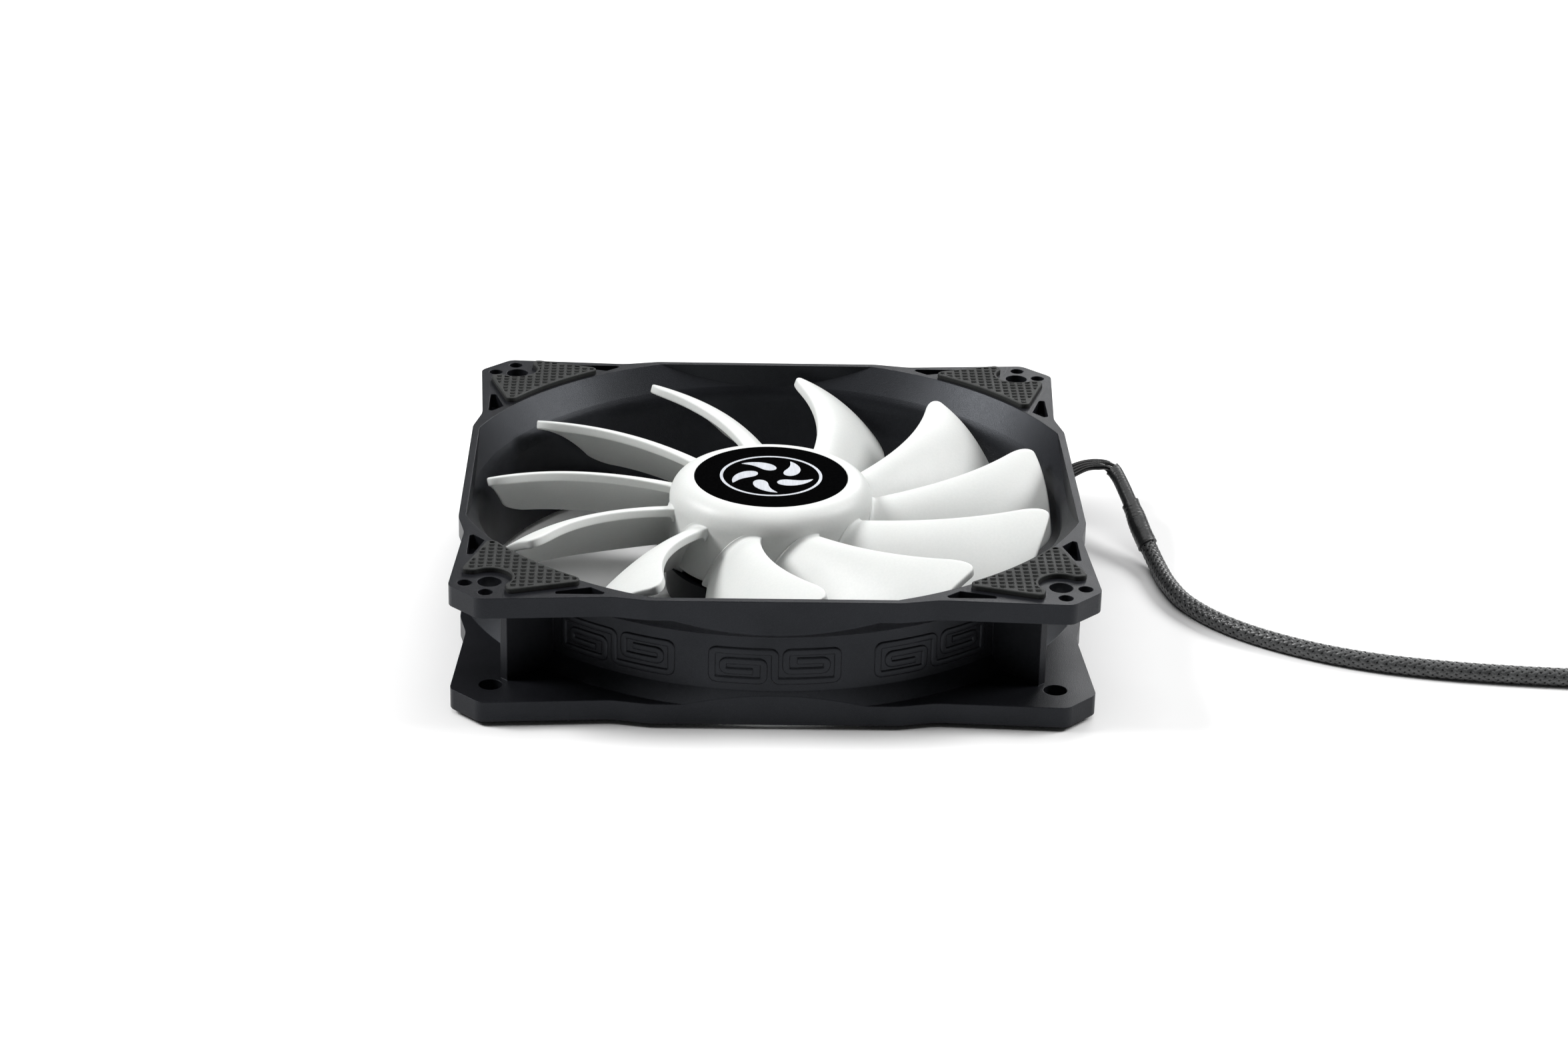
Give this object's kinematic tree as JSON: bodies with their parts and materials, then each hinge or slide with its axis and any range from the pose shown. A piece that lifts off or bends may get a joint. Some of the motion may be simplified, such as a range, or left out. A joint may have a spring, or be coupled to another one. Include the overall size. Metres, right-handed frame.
{
  "type": "case fan",
  "caption": "Square axial cooling fan with a curved-blade rotor on a spindle motor, rubber corner pads and a sleeved lead ending in a small connector.",
  "frame": {"origin": "centre of the fan at the plane that the outlet side's rubber pads rest on", "axes": "+Z along the rotor axis towards the inlet side; +X towards the side that the lead leaves; +Y towards the far side"},
  "size_m": [0.2724, 0.12, 0.027],
  "materials": {
    "frame_plastic": "fine-textured charcoal",
    "rubber": "matte, waffle moulded",
    "impeller_plastic": "satin white",
    "sticker": null,
    "label": "satin silver, blank",
    "brass": "turned",
    "bronze": "sintered, oiled",
    "nylon": "natural",
    "lamination_steel": "stamped",
    "yoke_steel": "drawn",
    "shaft_steel": "ground",
    "magnet": "bonded ferrite",
    "copper": "enamelled copper wire",
    "board": "black solder mask",
    "chip": "moulded epoxy",
    "capacitor": "ceramic",
    "wire_insulation": "black PVC",
    "heat_shrink": "satin black",
    "braid": "braided monofilament sleeve",
    "tie": "black strap",
    "connector_plastic": "black nylon",
    "contact_metal": "tinned"
  },
  "bodies": {
    "housing": {"frame": "frame_plastic", "motor_bearing_tube": "brass", "thrust_pad": "nylon", "sleeve_bearing": "bronze", "oil_ring": "nylon", "stator_core": "lamination_steel", "insulator_upper": "nylon", "insulator_lower": "nylon", "circuit_board": "board", "driver_chip": "chip", "hall_sensor": "chip", "board_capacitors": "capacitor", "rear_label": "label", "channel_leads": "wire_insulation", "lead_ribbon": "wire_insulation", "heat_shrink_near": "heat_shrink", "heat_shrink_far": "heat_shrink", "cable_sleeve": "braid", "cable_coil": "braid", "cable_tail": "braid", "coil_tie": "tie", "heat_shrink_end": "heat_shrink", "connector_leads": "wire_insulation", "connector_housing": "connector_plastic", "connector_contacts": "contact_metal", "stator_coil_1": "copper", "stator_coil_2": "copper", "stator_coil_3": "copper", "stator_coil_4": "copper", "inlet_pad_back_right": "rubber", "outlet_pad_back_right": "rubber", "inlet_pad_back_left": "rubber", "outlet_pad_back_left": "rubber", "inlet_pad_front_left": "rubber", "outlet_pad_front_left": "rubber", "inlet_pad_front_right": "rubber", "outlet_pad_front_right": "rubber"},
    "rotor": {"impeller_hub": "impeller_plastic", "blade_01": "impeller_plastic", "blade_02": "impeller_plastic", "blade_03": "impeller_plastic", "blade_04": "impeller_plastic", "blade_05": "impeller_plastic", "blade_06": "impeller_plastic", "blade_07": "impeller_plastic", "blade_08": "impeller_plastic", "blade_09": "impeller_plastic", "blade_10": "impeller_plastic", "blade_11": "impeller_plastic", "hub_sticker": "sticker", "rotor_yoke": "yoke_steel", "ring_magnet": "magnet", "shaft_bush": "brass", "rotor_shaft": "shaft_steel", "retaining_ring": "nylon"}
  },
  "joints": [
    {"name": "impeller_spin", "type": "hinge", "parent": "housing", "child": "rotor", "pos_m": [0, 0, 0.014], "axis": [0, 0, 1], "continuous": true}
  ]
}
